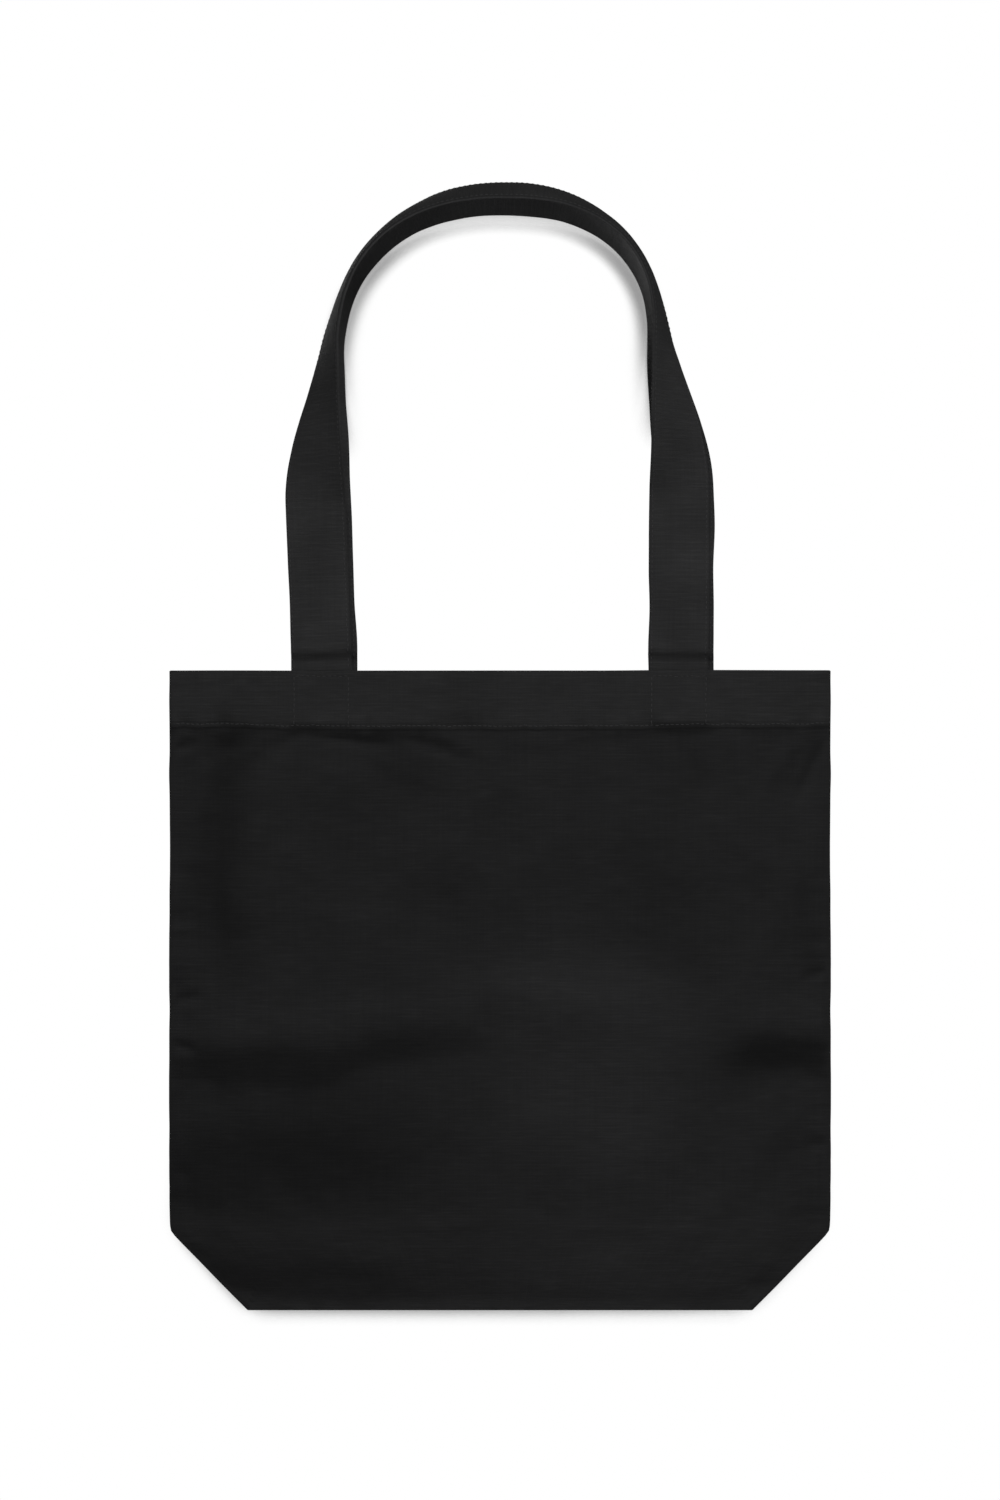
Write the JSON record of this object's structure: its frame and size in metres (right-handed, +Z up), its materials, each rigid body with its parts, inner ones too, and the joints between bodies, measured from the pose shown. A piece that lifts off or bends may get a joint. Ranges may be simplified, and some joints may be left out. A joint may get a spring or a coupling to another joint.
{
  "type": "tote bag",
  "caption": "Open-topped canvas tote bag with a turned-in hem, slanted bottom corners and two long sewn handles, hung up empty.",
  "frame": {"origin": "the hang point: just under the inside of the handles' top, midway between the front and the back", "axes": "+Z up, along the bag's height; +X to the right seen from the front; the front faces -Y"},
  "size_m": [0.42, 0.079, 0.7151],
  "materials": {
    "canvas": "matte",
    "hem_canvas": "matte",
    "strap_canvas": "matte",
    "thread": "satin"
  },
  "bodies": {
    "seams": {"left_side_seam": "hem_canvas", "right_side_seam": "hem_canvas", "bottom_seam": "hem_canvas", "left_corner_seam": "hem_canvas", "right_corner_seam": "hem_canvas", "side_overlock_threads": "thread", "bottom_overlock_thread": "thread", "corner_overlock_threads": "thread"},
    "front": {"front_panel": "canvas", "front_hem_fold": "hem_canvas", "front_strap_tail_left": "strap_canvas", "front_strap_tail_right": "strap_canvas", "front_hem_stitches": "thread", "front_box_stitches_left": "thread", "front_box_stitches_right": "thread"},
    "back": {"back_panel": "canvas", "back_hem_fold": "hem_canvas", "back_strap_tail_left": "strap_canvas", "back_strap_tail_right": "strap_canvas", "back_hem_stitches": "thread", "back_box_stitches_left": "thread", "back_box_stitches_right": "thread"},
    "front_handle": {"front_handle": "strap_canvas", "front_handle_stitches": "thread"},
    "back_handle": {"back_handle": "strap_canvas", "back_handle_stitches": "thread"}
  },
  "joints": [
    {"name": "front_open", "type": "hinge", "parent": "seams", "child": "front", "pos_m": [0, -0.0015, -0.7], "axis": [1, 0, 0], "range_deg": [0, 7]},
    {"name": "back_open", "type": "hinge", "parent": "seams", "child": "back", "pos_m": [0, 0.0015, -0.7], "axis": [-1, 0, 0], "range_deg": [0, 7]},
    {"name": "front_handle_swing", "type": "hinge", "parent": "front", "child": "front_handle", "pos_m": [0, -0.0074, -0.295], "axis": [1, 0, 0], "range_deg": [0, 165]},
    {"name": "back_handle_swing", "type": "hinge", "parent": "back", "child": "back_handle", "pos_m": [0, 0.0074, -0.295], "axis": [-1, 0, 0], "range_deg": [0, 165]}
  ],
  "couplings": [
    {"joint": "back_open", "follows": "front_open", "ratio": 1}
  ]
}
